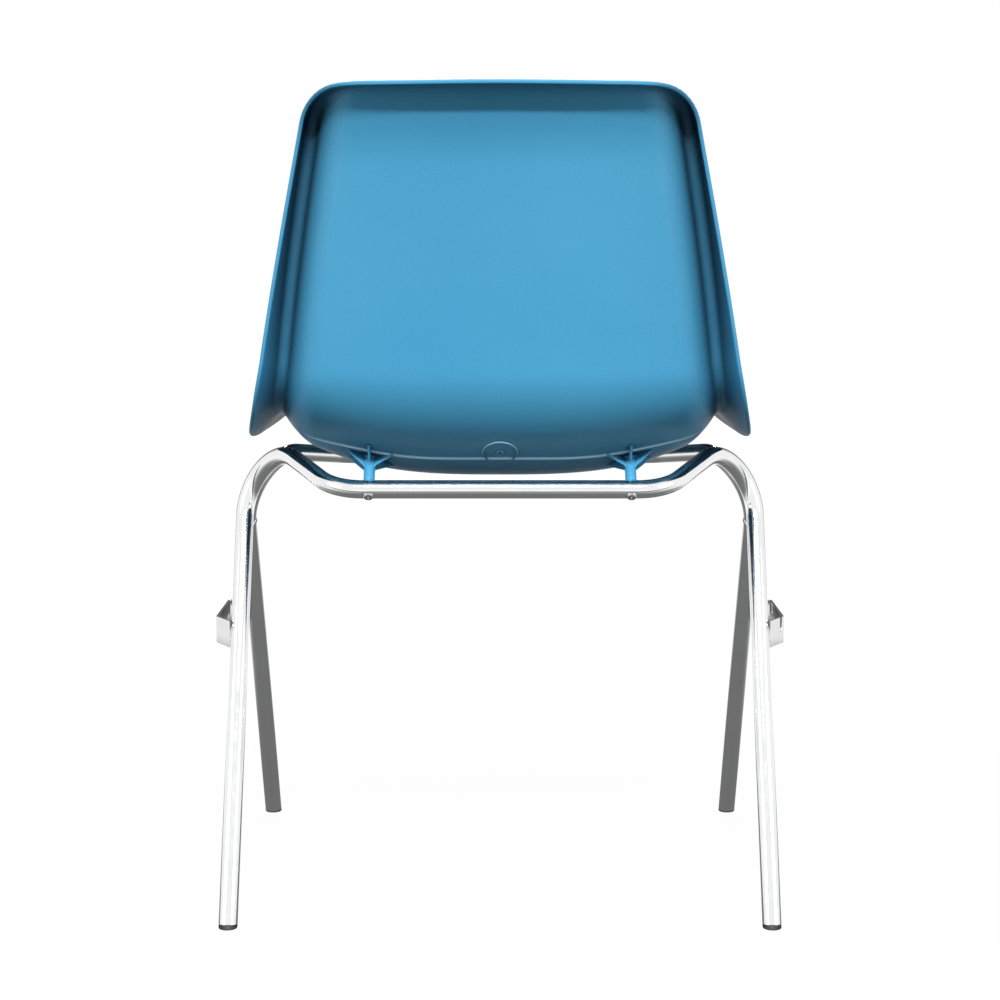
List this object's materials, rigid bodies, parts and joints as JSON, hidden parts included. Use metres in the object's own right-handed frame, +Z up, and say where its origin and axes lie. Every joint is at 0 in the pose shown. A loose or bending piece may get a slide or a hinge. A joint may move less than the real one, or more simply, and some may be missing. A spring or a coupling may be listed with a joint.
{
  "type": "stacking chair",
  "caption": "Stacking chair with a one-piece blue plastic bucket shell on a chromed two-tube frame with linking brackets and foot plugs.",
  "frame": {"origin": "middle of the chair's footprint, on the floor", "axes": "+Z up, the sitter faces -Y, +X towards the sitter's left"},
  "size_m": [0.572, 0.5286, 0.7948],
  "materials": {
    "shell_plastic": "satin, fine grain",
    "frame_chrome": "bright plated",
    "weld_metal": "plated over a rippled bead",
    "bracket_chrome": "bright plated strip",
    "plug_plastic": "matt",
    "screw_steel": "zinc plated"
  },
  "bodies": {
    "root": {"shell": "shell_plastic", "rear_frame_tube": "frame_chrome", "front_frame_tube": "frame_chrome", "arch_weld_left": "weld_metal", "arch_weld_right": "weld_metal", "link_bracket_left": "bracket_chrome", "link_bracket_right": "bracket_chrome", "foot_plug_rear_left": "plug_plastic", "foot_plug_rear_right": "plug_plastic", "foot_plug_front_left": "plug_plastic", "foot_plug_front_right": "plug_plastic", "screw_rear_left": "screw_steel", "screw_rear_right": "screw_steel", "screw_front_left": "screw_steel", "screw_front_right": "screw_steel"}
  },
  "joints": []
}
